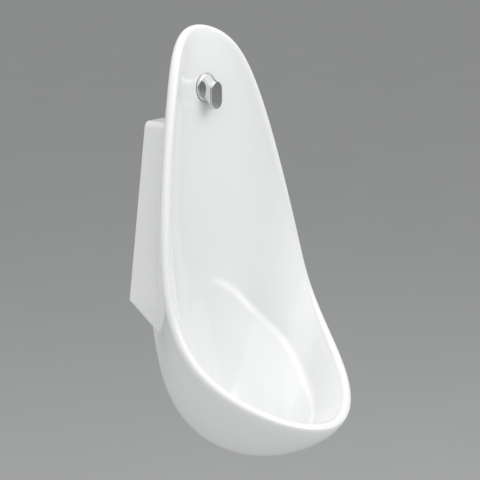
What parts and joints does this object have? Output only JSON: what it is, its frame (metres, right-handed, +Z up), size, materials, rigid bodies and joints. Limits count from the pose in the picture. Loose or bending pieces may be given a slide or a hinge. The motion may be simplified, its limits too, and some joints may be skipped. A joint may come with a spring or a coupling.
{
  "type": "wall-hung urinal",
  "caption": "Wall-hung urinal: a tall tapering glazed shield that flows into a projecting bowl, with a chrome flush spreader near the top and a waste outlet below.",
  "frame": {"origin": "centre of the four screw holes of the wall hangers, on the wall plane", "axes": "+X to the right seen from the front, +Y into the wall, +Z up"},
  "size_m": [0.3668, 0.3522, 0.7296],
  "materials": {
    "glaze": "glossy white glaze",
    "chrome": "polished chrome plate",
    "rubber": "matt black rubber",
    "steel": "plain zinc-plated steel",
    "brass": "turned brass",
    "plastic": "white moulded plastic"
  },
  "bodies": {
    "urinal": {"ceramic_body": "glaze", "spreader_flange": "chrome", "spreader_body": "chrome", "spreader_face": "chrome", "waste_body": "chrome", "spreader_gasket": "rubber", "face_seal": "rubber", "back_bush": "rubber", "waste_top_gasket": "rubber", "waste_cone_gasket": "rubber", "hanger_pad_left": "rubber", "hanger_pad_right": "rubber", "back_washer": "steel", "hanger_bracket_left": "steel", "hanger_bracket_right": "steel", "spreader_lock_nut": "brass", "waste_lock_nut": "brass", "spray_insert": "plastic", "waste_slip_washer": "plastic"},
    "grate": {"waste_grate": "chrome"}
  },
  "joints": [
    {"name": "grate_lift", "type": "slide", "parent": "urinal", "child": "grate", "axis": [0, 0, 1], "range_m": [0, 0.12]}
  ]
}
